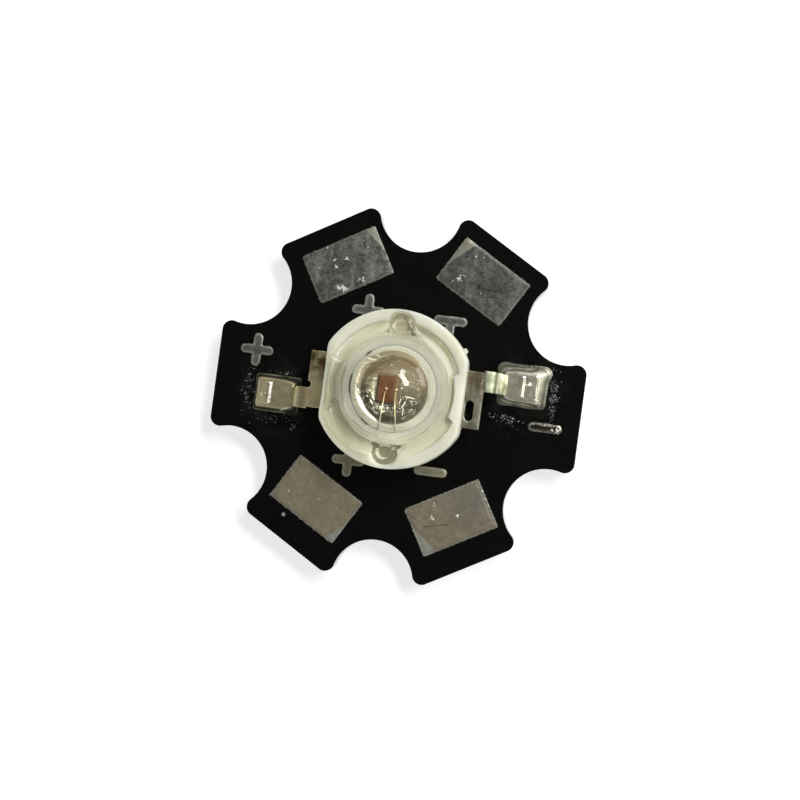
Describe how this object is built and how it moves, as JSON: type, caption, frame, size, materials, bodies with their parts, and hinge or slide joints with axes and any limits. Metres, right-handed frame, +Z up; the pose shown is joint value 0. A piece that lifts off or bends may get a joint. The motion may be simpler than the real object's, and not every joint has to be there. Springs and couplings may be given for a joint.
{
  "type": "star board power led",
  "caption": "Star-shaped metal-core circuit board with half-round screw notches, tinned wire pads and polarity marks, carrying a domed power LED emitter on bent leads.",
  "frame": {"origin": "middle of the board's underside", "axes": "+Z up from the board towards the lens, +X towards the side tab with the minus mark"},
  "size_m": [0.019, 0.0188, 0.0071],
  "materials": {
    "aluminium": "satin, punched edge",
    "dielectric": "matt film",
    "copper": "etched, under the mask",
    "solder_mask": "black satin coat with flux residue",
    "tin": "dull, scratched tin",
    "thermal_paste": "matt paste",
    "slug_plating": "bright plating in the cup",
    "housing_plastic": "off-white moulding",
    "lead_plating": "stained plating",
    "solder": "bright to grey solder",
    "die_attach": "filled adhesive",
    "chip": "dark red-brown chip",
    "bond_wire": "gold wire",
    "silicone": "clear gel",
    "lens": "clear moulding"
  },
  "bodies": {
    "root": {"aluminium_core": "aluminium", "dielectric_layer": "dielectric", "anode_copper": "copper", "cathode_copper": "copper", "thermal_copper": "copper", "solder_mask": "solder_mask", "wire_pad_upper_left": "tin", "wire_pad_upper_right": "tin", "wire_pad_lower_left": "tin", "wire_pad_lower_right": "tin", "plus_mark_left": "tin", "plus_mark_upper": "tin", "plus_mark_lower": "tin", "minus_mark_right": "tin", "minus_mark_upper": "tin", "minus_mark_lower": "tin", "thermal_paste": "thermal_paste", "heat_slug": "slug_plating", "housing": "housing_plastic", "anode_lead": "lead_plating", "cathode_lead": "lead_plating", "anode_solder": "solder", "cathode_solder": "solder", "die_attach": "die_attach", "led_die": "chip", "anode_bond_wire": "bond_wire", "cathode_bond_wire": "bond_wire", "silicone_fill": "silicone", "lens": "lens"}
  },
  "joints": []
}
